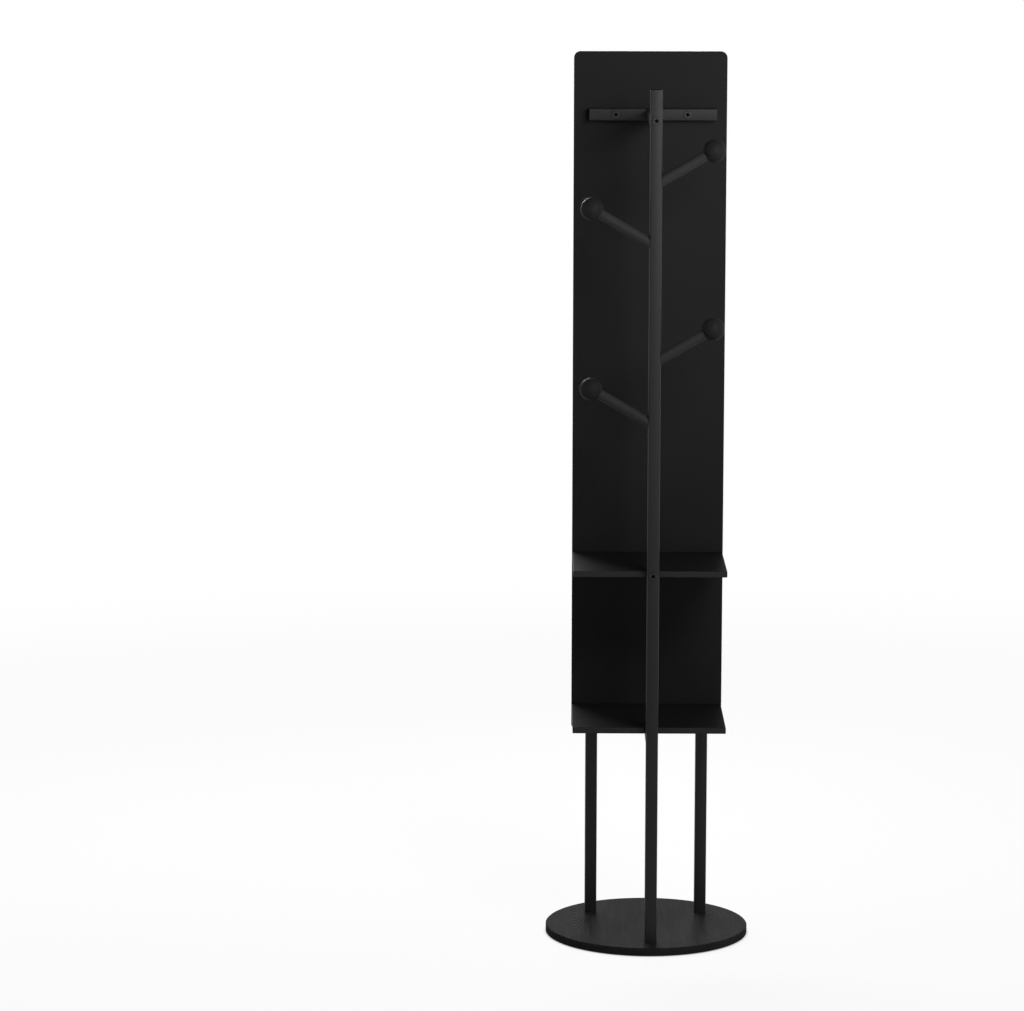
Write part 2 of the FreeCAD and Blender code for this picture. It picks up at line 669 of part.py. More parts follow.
def lean(feature, side):
    """Leans an upright feature over to one side, to the pegs' rise."""
    feature.Placement = Placement(Vector(), Rotation(LEAN_AXIS[side], 60))
    feature.setExpression("Placement.Rotation.Angle", "90 - Sizes.peg_angle")


def on_peg_line(root, side, distance):
    """A point on a peg's centre line, some way out from its root."""
    x, y, z = root
    return (
        f"{x} + {SIGN[side]}({distance}) * cos(Sizes.peg_angle)", y,
        f"{z} + ({distance}) * sin(Sizes.peg_angle)",
    )


# The ball has a blind hole that its peg is glued in. Its poles lie on the peg's line.
peg_ball = start_body("peg_ball")
sphere = peg_ball.newObject("PartDesign::AdditiveSphere", "peg_ball_sphere")
sphere.setExpression("Radius", "Places.peg_ball_radius")
lean(sphere, "right")
socket_end = "Sizes.peg_in_ball - Places.peg_ball_radius"
socket_start = on_peg_line(("0", "0", "0"), "right", f"{socket_end} - Sizes.peg_ball_diameter")
lean(bore(peg_ball, "Sizes.peg_diameter", "Sizes.peg_ball_diameter", socket_start), "right")

pegs = []
for height in ("upper", "lower"):
    for side, heading in (("right", UP), ("left", HALF_TURN)):
        root = (f"Places.post_{side}_face", "-Sizes.tall_post_back", f"Places.{height}_{side}_peg")
        arm_start = on_peg_line(root, side, "-Sizes.peg_in_post")
        arm_length = f"Sizes.peg_in_post + Places.{side}_peg_length + {socket_end}"
        arm = start_body(f"peg_arm_{height}_{side}", *root)
        lean(bar(arm, "Sizes.peg_diameter", arm_length, arm_start), side)
        lean(bore(tall_post, "Sizes.peg_diameter", arm_length, arm_start), side)
        ball_middle = on_peg_line(root, side, f"Places.{side}_peg_length")
        pegs.append(arm)
        pegs += copies(f"peg_ball_{height}_{side}", peg_ball, [(ball_middle, heading)])

# The tall post and its pegs make up one node, each still a solid of its own.
nodes.remove(tall_post)
together("coat_post", [tall_post, *pegs])

# ---------------------------------------------------------------- check and export

doc.recompute()
for thing in doc.Objects:
    if "Invalid" in thing.State or "Error" in thing.State:
        raise RuntimeError(f"{thing.Name} did not build: {thing.State}")
for piece in nodes:
    if piece.Shape.isNull() or not piece.Shape.isValid() or not piece.Shape.Solids:
        raise RuntimeError(f"{piece.Label} is not a valid solid")

os.makedirs("parts", exist_ok=True)
for piece in nodes:
    piece.Shape.exportStep(f"parts/{piece.Label}.step")
print(f"{len(nodes)} nodes written")
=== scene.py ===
import math

import bmesh
import bpy
from mathutils import Matrix, Quaternion, Vector


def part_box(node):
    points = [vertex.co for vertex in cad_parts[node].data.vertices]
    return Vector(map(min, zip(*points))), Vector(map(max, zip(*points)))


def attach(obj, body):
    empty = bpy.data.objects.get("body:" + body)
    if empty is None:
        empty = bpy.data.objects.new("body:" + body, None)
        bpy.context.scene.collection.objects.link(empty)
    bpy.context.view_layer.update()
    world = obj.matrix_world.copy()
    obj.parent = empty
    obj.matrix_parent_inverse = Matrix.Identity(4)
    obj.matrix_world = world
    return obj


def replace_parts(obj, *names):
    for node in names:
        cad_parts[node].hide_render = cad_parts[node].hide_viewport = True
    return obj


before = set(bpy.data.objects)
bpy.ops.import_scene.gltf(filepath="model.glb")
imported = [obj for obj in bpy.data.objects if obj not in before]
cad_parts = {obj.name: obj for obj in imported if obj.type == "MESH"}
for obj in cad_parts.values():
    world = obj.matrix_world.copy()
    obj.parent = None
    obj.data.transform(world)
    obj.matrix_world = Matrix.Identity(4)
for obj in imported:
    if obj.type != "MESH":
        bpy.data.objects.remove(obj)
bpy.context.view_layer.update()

# A revolving hall stand: a round base on a bearing, posts, two shelves, a long mirror and four
# pegs for coats. The mirror faces +Y, the coat side faces -Y. Sizes of pieces are in
# millimetres, those of finishes, floor, lamps and camera in metres, and angles in degrees.

# ---------------------------------------------------------------- floor pads
# Four squares of soft black rubber, stuck under the corners of the floor plate.
# They are cut from sheet, so their faces have a fine even grain.

MM = 0.001
RUBBER_BLACKS = (0.03, 0.03, 0.03), (0.055, 0.054, 0.052)
RUBBER_GRAIN_DEPTH = 0.00006


class Shade:
    """A value or colour in a finish. Arithmetic on a value adds Math nodes."""

    def __init__(self, finish, socket):
        self.finish = finish
        self.socket = socket

    def maths(self, operation, *others):
        """Works out an operation on this value and the others."""
        operands = dict(enumerate((self, *others)))
        return self.finish.add("ShaderNodeMath", {"operation": operation}, operands)

    def out(self, name):
        """Another output of the same node."""
        return Shade(self.finish, self.socket.node.outputs[name])

    def __add__(self, other):
        return self.maths("ADD", other)

    def __sub__(self, other):
        return self.maths("SUBTRACT", other)

    def __rsub__(self, other):
        return self.finish.add("ShaderNodeMath", {"operation": "SUBTRACT"}, {0: other, 1: self})

    def __mul__(self, other):
        return self.maths("MULTIPLY", other)

    def __truediv__(self, other):
        return self.maths("DIVIDE", other)

    def __pow__(self, other):
        return self.maths("POWER", other)

    __radd__ = __add__
    __rmul__ = __mul__


class Finish:
    """A surface finish made of shader nodes."""

    def __init__(self, name):
        self.material = bpy.data.materials.new(name)
        self.material.use_nodes = True
        self.tree = self.material.node_tree
        self.surface = self.tree.nodes["Principled BSDF"]

    def add(self, kind, settings=None, sockets=None):
        """Adds a node, its settings first, and gives its first output."""
        node = self.tree.nodes.new(kind)
        for name, value in (settings or {}).items():
            setattr(node, name, value)
        self.feed(node, sockets or {})
        return Shade(self, node.outputs[0])

    def feed(self, node, sockets):
        """Sets or links the sockets of a node."""
        for name, value in sockets.items():
            socket = node.inputs[name]
            if isinstance(value, Shade):
                self.tree.links.new(value.socket, socket)
            elif socket.type == "RGBA":
                socket.default_value = (*value, 1)
            else:
                socket.default_value = value

    def place(self, stretch=(1, 1, 1)):
        """The point on the piece, in metres; a stretch under 1 draws patterns out along it."""
        point = self.add("ShaderNodeTexCoord").out("Object")
        return self.add("ShaderNodeVectorMath", {"operation": "MULTIPLY"}, {0: point, 1: stretch})

    def noise(self, scale, stretch=(1, 1, 1), detail=2, roughness=0.5):
        """Soft noise, with about scale waves to the metre."""
        return self.add("ShaderNodeTexNoise", sockets={
            "Vector": self.place(stretch), "Scale": scale, "Detail": detail,
            "Roughness": roughness,
        })

    def between(self, mask, low, high):
        """A colour that goes from low to high as the mask goes from 0 to 1."""
        mix = self.add("ShaderNodeMix", {"data_type": "RGBA"}, {0: mask, 6: low, 7: high})
        return Shade(self, mix.socket.node.outputs[2])

    def step(self, value, low, high):
        """A mask that rises smoothly from 0 at low to 1 at high."""
        return self.add("ShaderNodeMapRange", {"interpolation_type": "SMOOTHSTEP"}, {
            "Value": value, "From Min": low, "From Max": high,
        })

    def coat(self, relief=None, depth=0.0, **sockets):
        """Sets the surface's own sockets; relief is a height that stands depth metres proud."""
        named = {name.replace("_", " "): value for name, value in sockets.items()}
        if relief is not None:
            named["Normal"] = self.add("ShaderNodeBump", {}, {"Height": relief, "Distance": depth})
        self.feed(self.surface, named)
        return self.material


def dress(node, finish):
    """Gives a CAD piece that stays in view its finish."""
    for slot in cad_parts[node].material_slots:
        slot.material = finish


rubber = Finish("pad_rubber")
rubber_grain = rubber.noise(1400, detail=3)
pad_rubber = rubber.coat(
    relief=rubber_grain, depth=RUBBER_GRAIN_DEPTH,
    Base_Color=rubber.between(rubber_grain, *RUBBER_BLACKS),
    Roughness=0.78 + 0.14 * rubber_grain,
)
dress("floor_pads", pad_rubber)

# ---------------------------------------------------------------- floor plate and bearing
# A square floor plate and a square upper plate, laser cut from steel, and the turned pivot that
# joins them. They are zinc plated, as are the bolts that come up through the base into the posts.

ZINC_GREYS = (0.50, 0.51, 0.53), (0.66, 0.67, 0.68)
ROLLED_DEPTH = 0.00003

zinc = Finish("zinc_steel")
crystals = zinc.add("ShaderNodeTexVoronoi", {}, {"Vector": zinc.place(), "Scale": 160})
spangle = zinc.add("ShaderNodeRGBToBW", {}, {"Color": crystals.out("Color")})
rolled = zinc.noise(500, stretch=(1, 0.03, 1), detail=4)
zinc_steel = zinc.coat(
    relief=rolled, depth=ROLLED_DEPTH, Metallic=1,
    Base_Color=zinc.between(spangle, *ZINC_GREYS),
    Roughness=0.28 + 0.16 * rolled + 0.06 * spangle,
)
for node in ("floor_plate", "bearing_pivot", "bearing_top_plate", "base_bolts"):
    dress(node, zinc_steel)

# ---------------------------------------------------------------- screws of the upper plate
# Four pan-head wood screws of plated steel hold the bearing's upper plate up into its pocket
# in the base, outside the circle that the roller cage sweeps.

SCREW_HEAD = 3.4
SCREW_HEAD_HEIGHT = 1.1
SCREW_HEAD_ROUND = 1.0
SCREW_DRIVE = 0.9
SCREW_DRIVE_DEPTH = 0.5
SCREW_DRIVE_LIP = 0.1
SCREW_SHANK = 1.6
SCREW_LENGTH = 6
SCREW_POINT = 2
SCREW_INSET = 10


def rings(stack, steps=48):
    """A skin over rings about the Z axis, closed where a radius is 0.

    Each ring is (radius, height), or (radius, height, sides) for a polygon.
    """
    mesh = bmesh.new()
    last = None
    for radius, height, *sides in stack:
        if radius == 0:
            ring = [mesh.verts.new((0, 0, height))] * steps
        else:
            ring = []
            for step in range(steps):
                turn = 2 * math.pi * step / steps
                reach = radius
                if sides:
                    half = math.pi / sides[0]
                    reach *= math.cos(half) / math.cos(turn % (2 * half) - half)
                point = (reach * math.cos(turn), reach * math.sin(turn), height)
                ring.append(mesh.verts.new(point))
        if last:
            for step in range(steps):
                after = (step + 1) % steps
                corners = [last[step], last[after], ring[after], ring[step]]
                mesh.faces.new(list(dict.fromkeys(corners)))
        last = ring
    return mesh


def arc(middle, radius, start, end, steps):
    """Points of an arc as (radius, height), its angles in degrees above level."""
    points = []
    for step in range(steps + 1):
        turn = math.radians(start + (end - start) * step / steps)
        points.append((middle[0] + radius * math.cos(turn), middle[1] + radius * math.sin(turn)))
    return points


def make(name, mesh, finish, at=None, sharp=35):
    """Makes a mesh in millimetres into a named piece that rides on the stand."""
    if at:
        bmesh.ops.transform(mesh, matrix=at, verts=mesh.verts)
    bmesh.ops.scale(mesh, vec=(MM, MM, MM), verts=mesh.verts)
    bmesh.ops.recalc_face_normals(mesh, faces=mesh.faces)
    for face in mesh.faces:
        face.smooth = True
    for edge in mesh.edges:
        edge.smooth = edge.calc_face_angle(0) < math.radians(sharp)
    data = bpy.data.meshes.new(name)
    mesh.to_mesh(data)
    mesh.free()
    piece = bpy.data.objects.new(name, data)
    bpy.context.scene.collection.objects.link(piece)
    data.materials.append(finish)
    piece.modifiers.new("flat_faces", "WEIGHTED_NORMAL").keep_sharp = True
    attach(piece, "stand")
    return piece


def room(node):
    """Lowest and highest corner of a CAD piece, in millimetres."""
    return [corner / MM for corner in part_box(node)]


def pan_screw(length=SCREW_LENGTH):
    """A pan-head screw that points up, its head's seat at the origin, with a round drive."""
    top = -SCREW_HEAD_HEIGHT
    dome_middle = (SCREW_HEAD - SCREW_HEAD_ROUND, SCREW_HEAD_HEIGHT - SCREW_HEAD_ROUND)
    return rings([
        (0, top + SCREW_DRIVE_DEPTH + SCREW_DRIVE_LIP), (SCREW_DRIVE, top + SCREW_DRIVE_DEPTH),
        (SCREW_DRIVE + 2 * SCREW_DRIVE_LIP, top + SCREW_DRIVE_LIP),
        (SCREW_DRIVE + 4 * SCREW_DRIVE_LIP, top),
        *[(radius, -height) for radius, height in arc(dome_middle, SCREW_HEAD_ROUND, 90, 0, 5)],
        (SCREW_HEAD, 0), (SCREW_SHANK, 0), (SCREW_SHANK, length - SCREW_POINT), (0, length),
    ], steps=24)


plate_low, plate_high = room("bearing_top_plate")
screws = 0
for x in (plate_low.x + SCREW_INSET, plate_high.x - SCREW_INSET):
    for y in (plate_low.y + SCREW_INSET, plate_high.y - SCREW_INSET):
        screws += 1
        spot = Matrix.Translation((x, y, plate_low.z))
        make(f"plate_screw_{screws}", pan_screw(), zinc_steel, at=spot)

# ---------------------------------------------------------------- rollers and their cage
# Ground steel rollers, hardened and polished, in the windows of a flat nylon cage
# that is stamped from sheet. They let the base turn freely on the floor plate.

BRIGHT_STEEL = (0.70, 0.70, 0.72), (0.80, 0.80, 0.82)
NYLON_CREAMS = (0.72, 0.70, 0.65), (0.82, 0.81, 0.77)
NYLON_DEPTH = 0.00003

polished = Finish("bearing_steel")
polish = polished.noise(900, stretch=(1, 1, 0.2), detail=3)
dress("rollers", polished.coat(
    Metallic=1, Base_Color=polished.between(polish, *BRIGHT_STEEL), Roughness=0.08 + 0.1 * polish,
))

nylon = Finish("cage_nylon")
milky = nylon.noise(220, detail=4)
dress("roller_cage", nylon.coat(
    relief=nylon.noise(2600), depth=NYLON_DEPTH,
    Base_Color=nylon.between(milky, *NYLON_CREAMS), Roughness=0.42 + 0.12 * milky,
))

# ---------------------------------------------------------------- round base
# A turned disc of board with ash veneer on its faces and edge, stained black and lacquered.
# Two leaves of crown-cut veneer lie side by side, and their arches run from back to front.

ASH_BLACKS = (0.003, 0.003, 0.003), (0.053, 0.0525, 0.052)
ASH_PORE_DEPTH = 0.0002
LEAF_HEARTS = (-0.142, 0.128)
LEAF_SEAM = 0.0006
HEART_ROUND = 0.014
HEART_WANDER = 0.03
RING_WIDTH = 0.0042
RING_WAVER = 1.6
RINGS_BEFORE = 60
TAPER = 0.21
CROWN_FADE = (0.04, 0.085)

# Growth rings arch round the heart of each leaf, which wanders a little.
ash = Finish("stained_ash")
ash_across = ash.add("ShaderNodeSeparateXYZ", {}, {"Vector": ash.place()})
ash_along = ash_across.out("Y")
wander = (ash.noise(9, stretch=(1, 0.35, 1), detail=3) - 0.5) * HEART_WANDER
leaf = ash.step(ash_across, -LEAF_SEAM, LEAF_SEAM)
heart = LEAF_HEARTS[0] + leaf * (LEAF_HEARTS[1] - LEAF_HEARTS[0])
off_heart = ash_across - heart + wander
waver = RING_WAVER * ash.noise(55, stretch=(1, 0.25, 1), detail=2)
arch = (off_heart * off_heart + HEART_ROUND**2) ** 0.5 - ash_along * TAPER
growth = (arch / RING_WIDTH + waver + RINGS_BEFORE).maths("FRACT")

# Soft early wood shows in each ring, less so away from the hearts, with pores and streaks.
early_wood = ash.step(growth, 0.0, 0.25) * (1 - ash.step(growth, 0.3, 0.6))
crown_cut = 1 - 0.75 * ash.step(off_heart.maths("ABSOLUTE"), *CROWN_FADE)
pores = ash.step(ash.noise(420, stretch=(1, 0.05, 1), detail=2, roughness=0.7), 0.4, 0.6)
fibre = ash.noise(700, stretch=(1, 0.03, 1), detail=3)
streak = ash.step(ash.noise(120, stretch=(1, 0.06, 1), detail=3), 0.42, 0.72)
cloud = ash.step(ash.noise(8, stretch=(1, 0.4, 1), detail=3), 0.3, 0.75)

# The arches are on the flat faces, and the veneer of the edge is plain.
facing = ash.add("ShaderNodeTexCoord").out("Normal")
facing_up = ash.add("ShaderNodeSeparateXYZ", {}, {"Vector": facing}).out("Z")
flat = ash.step(facing_up.maths("ABSOLUTE"), 0.5, 0.9)
face_figure = early_wood * crown_cut * (0.6 + 0.4 * pores) + 0.2 * streak
edge_figure = 0.3 * ash.noise(700, stretch=(0.04, 0.04, 1), detail=3)
figure = flat * face_figure + (1 - flat) * edge_figure
ash_tone = figure * 0.85 + 0.1 * fibre + 0.14 * cloud
stained_ash = ash.coat(
    relief=fibre * 0.15 - figure, depth=ASH_PORE_DEPTH,
    Base_Color=ash.between(ash_tone, *ASH_BLACKS),
    Roughness=0.36 + 0.15 * figure + 0.44 * (1 - flat),
    Specular_IOR_Level=0.008,
)
dress("base_disc", stained_ash)

# ---------------------------------------------------------------- short posts
# Two square posts of planed hardwood with rounded long edges, bolted to the base from below.
# They have black satin lacquer over a fine straight grain.

POST_CORNER = 3
FACE_LEAN = 8
END_EASE = 0.5
LACQUER_GRAIN_DEPTH = 0.00005
LACQUER_STRETCH = 0.04
LACQUER_TONES = 1.6
ALONG = {
    "x": Matrix(((0, 0, 1, 0), (1, 0, 0, 0), (0, 1, 0, 0), (0, 0, 0, 1))),
    "y": Matrix(((0, 1, 0, 0), (0, 0, 1, 0), (1, 0, 0, 0), (0, 0, 0, 1))),
    "z": Matrix.Identity(4),
}


def lacquer(name, along, gloss=0.165, roughness=0.46, dark=0.0055, depth=LACQUER_GRAIN_DEPTH):
    """Satin black lacquer over wood whose grain runs along an axis; dark is its blackest tone."""
    black = Finish(name)
    stretch = [1, 1, 1]
    stretch["xyz".index(along)] = LACQUER_STRETCH
    grain = black.noise(420, stretch=stretch, detail=4, roughness=0.6)
    patch = black.noise(14, detail=2)
    return black.coat(
        relief=grain, depth=depth,
        Base_Color=black.between(grain, [dark] * 3, [dark * LACQUER_TONES] * 3),
        Roughness=roughness + 0.08 * grain + 0.06 * patch,
        Specular_IOR_Level=gloss,
    )


def planed(half, corner, steps=6):
    """Outline of a planed square: faces crowned a little, between rounded corners."""
    lean = math.radians(FACE_LEAN)
    sine, cosine, slope = math.sin(lean), math.cos(lean), math.tan(lean)
    middle = (half - corner * (cosine + slope * sine / 2)) / (1 + slope / 2)
    face_end = middle + corner * sine
    quarter = []
    for step in range(steps):
        across = face_end * (2 * step / steps - 1)
        quarter.append((across, half - slope * across**2 / (2 * face_end)))
    for step in range(steps):
        turn = lean + (math.pi / 2 - 2 * lean) * step / steps
        quarter.append((middle + corner * math.sin(turn), middle + corner * math.cos(turn)))
    outline = []
    for _ in range(4):
        outline += quarter
        quarter = [(y, -x) for x, y in quarter]
    return outline


def timber(low, high, axis, corner=POST_CORNER, top_ease=END_EASE):
    """A planed square timber between two corners, its ends eased.

    Its far end face takes the second finish of a piece that has two.
    """
    turn = ALONG[axis]
    start, end = turn.inverted() @ low, turn.inverted() @ high
    middle, half = (start + end) / 2, (end.x - start.x) / 2
    mesh = bmesh.new()
    last = None
    for height, ease in (
        (start.z, END_EASE), (start.z + END_EASE, 0), (end.z - top_ease, 0), (end.z, top_ease),
    ):
        scale = (half - ease) / half
        ring = [
            mesh.verts.new(turn @ Vector((middle.x + scale * x, middle.y + scale * y, height)))
            for x, y in planed(half, corner)
        ]
        if last:
            for here in range(len(ring)):
                after = (here + 1) % len(ring)
                mesh.faces.new((last[here], last[after], ring[after], ring[here]))
        else:
            mesh.faces.new(ring)
        last = ring
    mesh.faces.new(last).material_index = 1
    return mesh


upright_lacquer = lacquer("black_lacquer_upright", "z")
for side in ("left", "right"):
    low, high = room(f"short_post_{side}")
    post = timber(low, high, "z")
    piece = make(f"post_{side}", post, upright_lacquer)
    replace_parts(piece, f"short_post_{side}")

# ---------------------------------------------------------------- tall post
# One long square post of the same section. It carries the pegs and holds the outer edges of
# both shelves. Its top end is eased, and the end grain there drinks the lacquer and stays dull.

TALL_POST_SIDE = 24
TALL_POST_X = 5
TALL_POST_Y = -148
POST_TOP_EASE = 1

pegs_low, pegs_high = room("coat_post")
half_post = TALL_POST_SIDE / 2
tall_low = Vector((TALL_POST_X - half_post, TALL_POST_Y - half_post, pegs_low.z))
tall_high = Vector((TALL_POST_X + half_post, TALL_POST_Y + half_post, pegs_high.z))
post = timber(tall_low, tall_high, "z", top_ease=POST_TOP_EASE)
tall_post = make("tall_post", post, upright_lacquer)
tall_post.data.materials.append(lacquer("black_lacquer_end", "x", gloss=0.01, roughness=0.88))
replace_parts(tall_post, "coat_post")

# ---------------------------------------------------------------- coat pegs
# Four round dowels let into the post at a slant, each with a turned ball glued on its end.
# All are lacquered black; the balls have a small flat where the dowel enters.

PEG_RISE = 30
PEG_RADIUS = 10
PEG_IN_POST = 12
PEG_IN_BALL = 14
BALL_RADIUS = 22
BALL_REACH = 116.5
BALL_FLAT = 11
BALL_BORE = 1
BALL_LIP = 0.2
BALL_EASE = 0.3
ARM_GRAIN_DEPTH = 0.00001
BALL_GRAIN_DEPTH = 0.00002
PEG_ROOTS = {
    ("upper", "right"): 1502.5,
    ("upper", "left"): 1385.5,
    ("lower", "right"): 1162.5,
    ("lower", "left"): 1040.5,
}

# The dowels take a lighter copy of the posts' lacquer: painted light that brightens them as light
# from above does.
arm_painted_light_lacquer = lacquer(
    "black_lacquer_arm", "z", gloss=0.09, roughness=0.62, dark=0.0115, depth=ARM_GRAIN_DEPTH,
)
ball_lacquer = lacquer(
    "black_lacquer_ball", "x", gloss=0.032, roughness=0.5, dark=0.0075, depth=BALL_GRAIN_DEPTH,
)
flat_height = math.sqrt(BALL_RADIUS**2 - BALL_FLAT**2)
flat_angle = math.degrees(math.asin(flat_height / BALL_RADIUS))
for (height, side), root in PEG_ROOTS.items():
    way = 1 if side == "right" else -1
    face = TALL_POST_X + way * half_post
    length = (BALL_REACH - way * face) / math.cos(math.radians(PEG_RISE))
    arm_end = length - BALL_RADIUS + PEG_IN_BALL
    lean = Matrix.Rotation(way * math.radians(90 - PEG_RISE), 4, "Y")
    spot = Matrix.Translation((face, TALL_POST_Y, root)) @ lean
    arm = rings([
        (0, -PEG_IN_POST), (PEG_RADIUS, -PEG_IN_POST), (PEG_RADIUS, arm_end), (0, arm_end),
    ])
    make(f"peg_arm_{height}_{side}", arm, arm_painted_light_lacquer, at=spot)
    ball = rings([
        (PEG_RADIUS, BALL_BORE - flat_height), (PEG_RADIUS, BALL_LIP - flat_height),
        (BALL_FLAT - BALL_EASE, -flat_height),
        *arc((0, 0), BALL_RADIUS, -flat_angle, 89, 32), (0, BALL_RADIUS),
    ], steps=64)
    spot = spot @ Matrix.Translation((0, 0, length))
    make(f"peg_ball_{height}_{side}", ball, ball_lacquer, at=spot)

# ---------------------------------------------------------------- rails under the lower shelf
# A cross rail tenoned between the short posts, and a rail from its middle to the tall post.
# Both are planed hardwood with black lacquer, and the lower shelf lies on them.

RAIL_CORNER = 1.5

across_lacquer = lacquer("black_lacquer_across", "x", gloss=0.14, dark=0.0065)
along_lacquer = lacquer("black_lacquer_along", "y")


def rail(node, name, axis, finish):
    """A square rail in place of a CAD rail, its long edges rounded."""
    low, high = room(node)
    mesh = timber(low, high, axis, RAIL_CORNER)
    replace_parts(make(name, mesh, finish), node)


rail("lower_cross_rail", "cross_rail", "x", across_lacquer)
rail("lower_rail", "shelf_rail", "y", along_lacquer)

# ---------------------------------------------------------------- shelves
# Two shelves of 12 mm board, lacquered black all round with softly rounded edges.
# The lower one lies on the posts and rails, and the upper one hangs between post and mirror.

SHELF_EASE = 1.4
Z = 2


def batten(low, high):
    """A plain board between two corners."""
    mesh = bmesh.new()
    bmesh.ops.create_cube(mesh, size=1)
    for vertex in mesh.verts:
        vertex.co = [a + (b - a) * (c + 0.5) for a, b, c in zip(low, high, vertex.co)]
    return mesh


def round_over(mesh, radius, steps, wanted):
    """Rounds the edges that wanted() accepts."""
    bmesh.ops.bevel(
        mesh, geom=[edge for edge in mesh.edges if wanted(edge)], offset=radius,
        segments=steps, profile=0.5, affect="EDGES", clamp_overlap=True,
    )


def two_tone(mesh, axis, least):
    """Gives faces that look along an axis the first finish, and the other faces the second."""
    mesh.normal_update()
    for face in mesh.faces:
        face.material_index = 0 if abs(face.normal[axis]) > least else 1


# The broad faces take a darker, duller copy of the lacquer and the edges the rails' lighter one:
# painted shade, so the tops read darker than the edges.
shelf_faces_painted_shade = lacquer("black_lacquer_shelf", "x", gloss=0.025, roughness=0.6, dark=0.0045)
for name in ("lower", "upper"):
    low, high = room(f"{name}_shelf")
    board = batten(low, high)
    round_over(board, SHELF_EASE, steps=3, wanted=lambda edge: True)
    two_tone(board, axis=Z, least=0.9)
    shelf = make(f"{name}_board", board, shelf_faces_painted_shade)
    shelf.data.materials.append(across_lacquer)
    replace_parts(shelf, f"{name}_shelf")

# ---------------------------------------------------------------- mirror panels
# Two backing boards of 9 mm fibreboard, matt black on the back and edges, with rounded
# outer corners. They meet at a narrow seam level with the upper shelf.

PANEL_ROUND = 13
PANEL_EASE = 0.8
BOARD_BLACKS = (0.0082, 0.0082, 0.0082), (0.0114, 0.0113, 0.0112)
PEEL_DEPTH = 0.00004
CLOSE = 0.001
ALIGNED = 0.999
Y = 1


def runs(axis):
    """Accepts edges along an axis."""
    return lambda edge: abs((edge.verts[1].co - edge.verts[0].co).normalized()[axis]) > ALIGNED


def level(axis, *heights):
    """Accepts the edges round a face that is square to an axis at one of the heights."""
    return lambda edge: any(
        all(abs(vertex.co[axis] - height) < CLOSE for vertex in edge.verts) for height in heights
    )


def at_end(node_low, node_high, outer):
    """Accepts the corners at a panel's top or bottom end, which run through the board."""
    end = node_high.z if outer == "top" else node_low.z
    return lambda edge: runs(Y)(edge) and abs(edge.verts[0].co.z - end) < CLOSE


matt = Finish("black_board")
peel = matt.noise(1100, detail=3)
drift = matt.noise(3.2, detail=2)
black_board = matt.coat(
    relief=peel, depth=PEEL_DEPTH,
    Base_Color=matt.between(drift, *BOARD_BLACKS),
    Roughness=0.62 + 0.1 * peel,
    Specular_IOR_Level=0.045,
)
for name, outer in (("lower", "bottom"), ("upper", "top")):
    low, high = room(f"{name}_panel")
    board = batten(low, high)
    round_over(board, PANEL_ROUND, steps=10, wanted=at_end(low, high, outer))
    round_over(board, PANEL_EASE, steps=2, wanted=level(Y, low.y, high.y))
    panel = make(f"{name}_backing", board, black_board)
    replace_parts(panel, f"{name}_panel")

# ---------------------------------------------------------------- mirrors
# Silvered float glass, 4 mm thick, glued to the boards. Its edges are ground and polished,
# with a narrow arris all round.

GLASS_ROUND = 11.5
ARRIS = 0.5
SILVERS = (0.855, 0.865, 0.862), (0.875, 0.882, 0.88)
GLASS_GREENS = (0.10, 0.16, 0.145), (0.16, 0.23, 0.21)

silver = Finish("mirror_glass")
haze = silver.noise(2.4, detail=3)
mirror_glass = silver.coat(
    Metallic=1, Base_Color=silver.between(haze, *SILVERS), Roughness=0.012 + 0.012 * haze,
)
ground = Finish("glass_edge")
tint = ground.noise(60, detail=2)
glass_edge = ground.coat(
    Base_Color=ground.between(tint, *GLASS_GREENS), Roughness=0.1 + 0.06 * tint, IOR=1.52,
)
for name, outer in (("lower", "bottom"), ("upper", "top")):
    low, high = room(f"{name}_mirror")
    glass = batten(low, high)
    round_over(glass, GLASS_ROUND, steps=10, wanted=at_end(low, high, outer))
    round_over(glass, ARRIS, steps=1, wanted=level(Y, high.y))
    two_tone(glass, axis=Y, least=0.99)
    mirror = make(f"{name}_glass", glass, mirror_glass, sharp=20)
    mirror.data.materials.append(glass_edge)
    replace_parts(mirror, f"{name}_mirror")

# ---------------------------------------------------------------- crossbar and top rail
# A crossbar bolted to the back of the upper panel, and a rail tenoned into its middle that
# reaches out to the tall post. Both are planed hardwood with black lacquer.

rail("crossbar", "mirror_crossbar", "x", across_lacquer)
rail("top_rail", "post_rail", "y", along_lacquer)

# ---------------------------------------------------------------- connector bolts
# Black oxide bolts with a flat head and a hexagon socket. Two go through the tall post,
# and two through the crossbar into the mirror's backing.

BOLT_HEAD = 7.5
BOLT_HEAD_HEIGHT = 2.5
BOLT_HEAD_EASE = 0.9
BOLT_SHANK = 3
BOLT_POINT = 1
KEY = 2.3
KEY_DEPTH = 2.1
KEY_POINT = 0.4
DISH = 3.5
DISH_DEPTH = 0.5
CROSSBAR_BOLTS = (-68, 72)
OXIDE_BLACKS = (0.012, 0.012, 0.0122), (0.023, 0.023, 0.0232)
OXIDE_DEPTH = 0.00002
SOCKET_PAINTED_SHADES = (0.001, 0.001, 0.001), (0.003, 0.003, 0.003)
TO_MIRROR = Matrix.Rotation(-math.pi / 2, 4, "X")

oxide = Finish("black_steel")
rub = oxide.noise(700, detail=4)
black_steel = oxide.coat(
    relief=rub, depth=OXIDE_DEPTH, Metallic=0.85,
    Base_Color=oxide.between(rub, *OXIDE_BLACKS), Roughness=0.5 + 0.14 * rub,
)
# The socket finish is painted shade: a near-black, dull colour for the dish and hexagon hole,
# standing in for the shadow inside them.
socket = Finish("bolt_socket")
socket_shade_mottle = socket.noise(900, detail=3)
bolt_socket = socket.coat(
    Base_Color=socket.between(socket_shade_mottle, *SOCKET_PAINTED_SHADES), Roughness=0.8 + 0.15 * socket_shade_mottle,
    Specular_IOR_Level=0.02,
)


